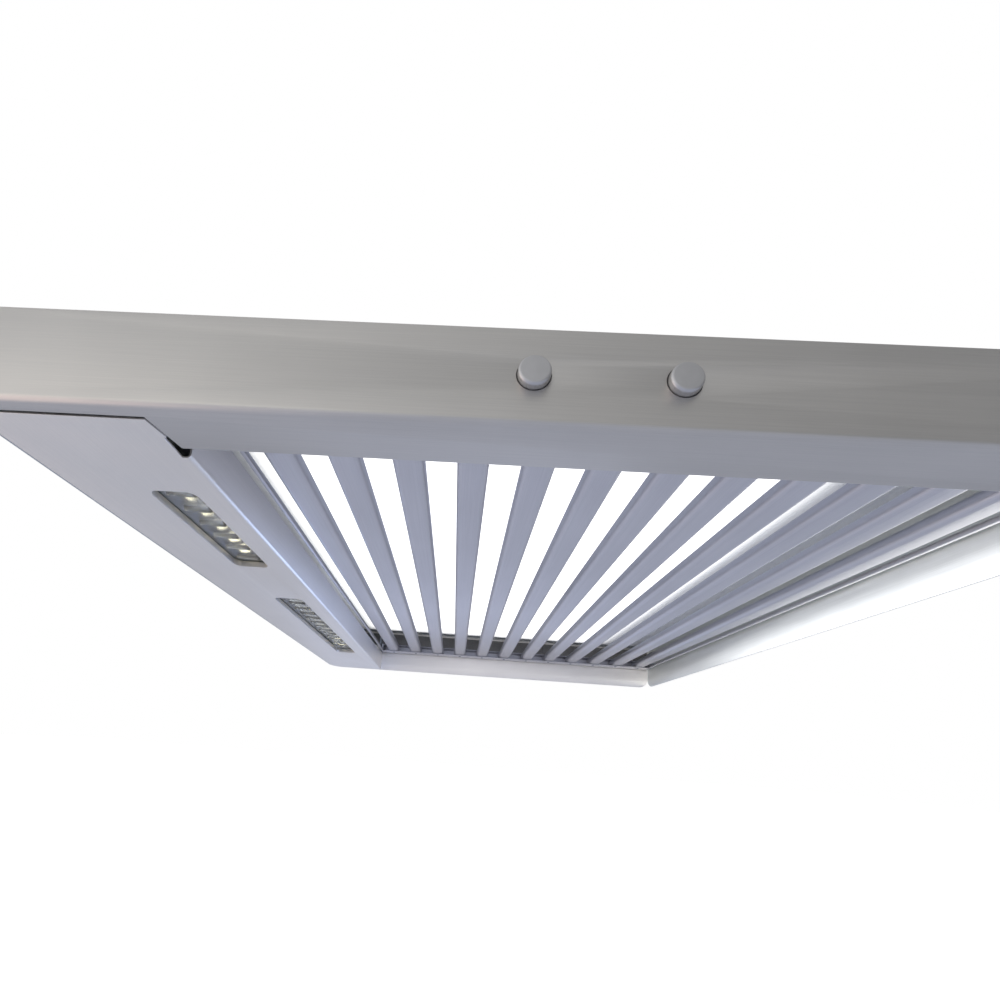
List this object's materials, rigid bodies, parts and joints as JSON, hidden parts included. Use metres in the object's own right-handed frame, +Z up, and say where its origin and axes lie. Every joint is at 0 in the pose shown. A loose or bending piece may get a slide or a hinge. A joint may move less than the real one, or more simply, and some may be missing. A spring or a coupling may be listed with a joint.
{
  "type": "under cabinet range hood",
  "caption": "Slim under-cabinet range hood: steel fascia with push buttons, hinged baffle-slat filter beside a lamp panel, blower inside and a rectangular top duct collar.",
  "frame": {"origin": "middle of the flat top face that is screwed to the underside of the cabinet", "axes": "+X to the right along the fascia, +Y from the fascia to the wall, +Z up into the cabinet"},
  "size_m": [0.606, 0.562, 0.177],
  "materials": {
    "brushed_front": "brushed along the width, clear and slightly warm",
    "galvanised": "plain zinc-coated sheet, soft spangle",
    "lamp_panel_satin": "satin sheet, cool grey",
    "slat_satin": "satin, brushed along the slat",
    "lens": "clear ribbed acrylic",
    "led_board": "white solder mask",
    "white_plastic": "moulded, satin",
    "black_plastic": "moulded, satin",
    "dark_steel": "plain bright steel",
    "magnet": "black coated magnet block",
    "motor_shell": "semi-gloss enamel",
    "fleece": "white needled fleece",
    "capacitor_can": "drawn can",
    "button_metal": "satin chrome"
  },
  "bodies": {
    "root": {"fascia": "brushed_front", "slope_panel": "brushed_front", "top_panel": "galvanised", "back_panel": "lamp_panel_satin", "side_panel_left": "brushed_front", "side_panel_right": "brushed_front", "lamp_panel": "lamp_panel_satin", "lamp_lens_front": "lens", "lamp_lens_rear": "lens", "lamp_board_front": "led_board", "lamp_board_rear": "led_board", "lamp_cover": "galvanised", "lamp_driver": "white_plastic", "hinge_ear_left": "galvanised", "hinge_ear_right": "galvanised", "catch_bracket_left": "galvanised", "catch_bracket_right": "galvanised", "catch_magnet_left": "magnet", "catch_magnet_right": "magnet", "mat_frame": "galvanised", "grease_mat": "fleece", "blower_deck": "galvanised", "inlet_ring": "galvanised", "scroll_wall": "galvanised", "scroll_cover": "galvanised", "motor": "motor_shell", "capacitor": "capacitor_can", "discharge_box": "galvanised", "duct_collar": "galvanised", "damper_pin": "dark_steel", "switch_body_fan": "black_plastic", "switch_body_light": "black_plastic", "switch_bracket": "galvanised", "wiring_box": "galvanised", "wiring_cover": "galvanised", "terminal_block": "white_plastic", "cable_gland": "black_plastic"},
    "filter": {"filter_rail_front": "slat_satin", "filter_rail_rear": "slat_satin", "filter_rail_left": "slat_satin", "filter_rail_right": "slat_satin", "baffle_slat_01": "slat_satin", "baffle_slat_02": "slat_satin", "baffle_slat_03": "slat_satin", "baffle_slat_04": "slat_satin", "baffle_slat_05": "slat_satin", "baffle_slat_06": "slat_satin", "baffle_slat_07": "slat_satin", "baffle_slat_08": "slat_satin", "baffle_slat_09": "slat_satin", "baffle_slat_10": "slat_satin", "baffle_slat_11": "slat_satin", "baffle_slat_12": "slat_satin", "filter_pin_left": "dark_steel", "filter_pin_right": "dark_steel"},
    "fan": {"fan_wheel": "black_plastic", "motor_shaft": "dark_steel"},
    "damper": {"damper_flap": "galvanised"},
    "fan_button": {"button_fan": "button_metal"},
    "light_button": {"button_light": "button_metal"}
  },
  "joints": [
    {"name": "filter_swing", "type": "hinge", "parent": "root", "child": "filter", "pos_m": [0.04535, 0.2675, -0.1125], "axis": [1, 0, 0], "range_deg": [0, 80]},
    {"name": "fan_spin", "type": "hinge", "parent": "root", "child": "fan", "pos_m": [0, 0.0453, -0.0362], "axis": [0, 0, 1], "continuous": true},
    {"name": "damper_swing", "type": "hinge", "parent": "root", "child": "damper", "pos_m": [0, 0.2542, 0.006], "axis": [-1, 0, 0], "range_deg": [0, 75]},
    {"name": "fan_button_push", "type": "slide", "parent": "root", "child": "fan_button", "axis": [0, 1, 0], "range_m": [0, 0.0025], "stiffness_N_per_m": 800, "springref_m": -0.0015},
    {"name": "light_button_push", "type": "slide", "parent": "root", "child": "light_button", "axis": [0, 1, 0], "range_m": [0, 0.0025], "stiffness_N_per_m": 800, "springref_m": -0.0015}
  ]
}
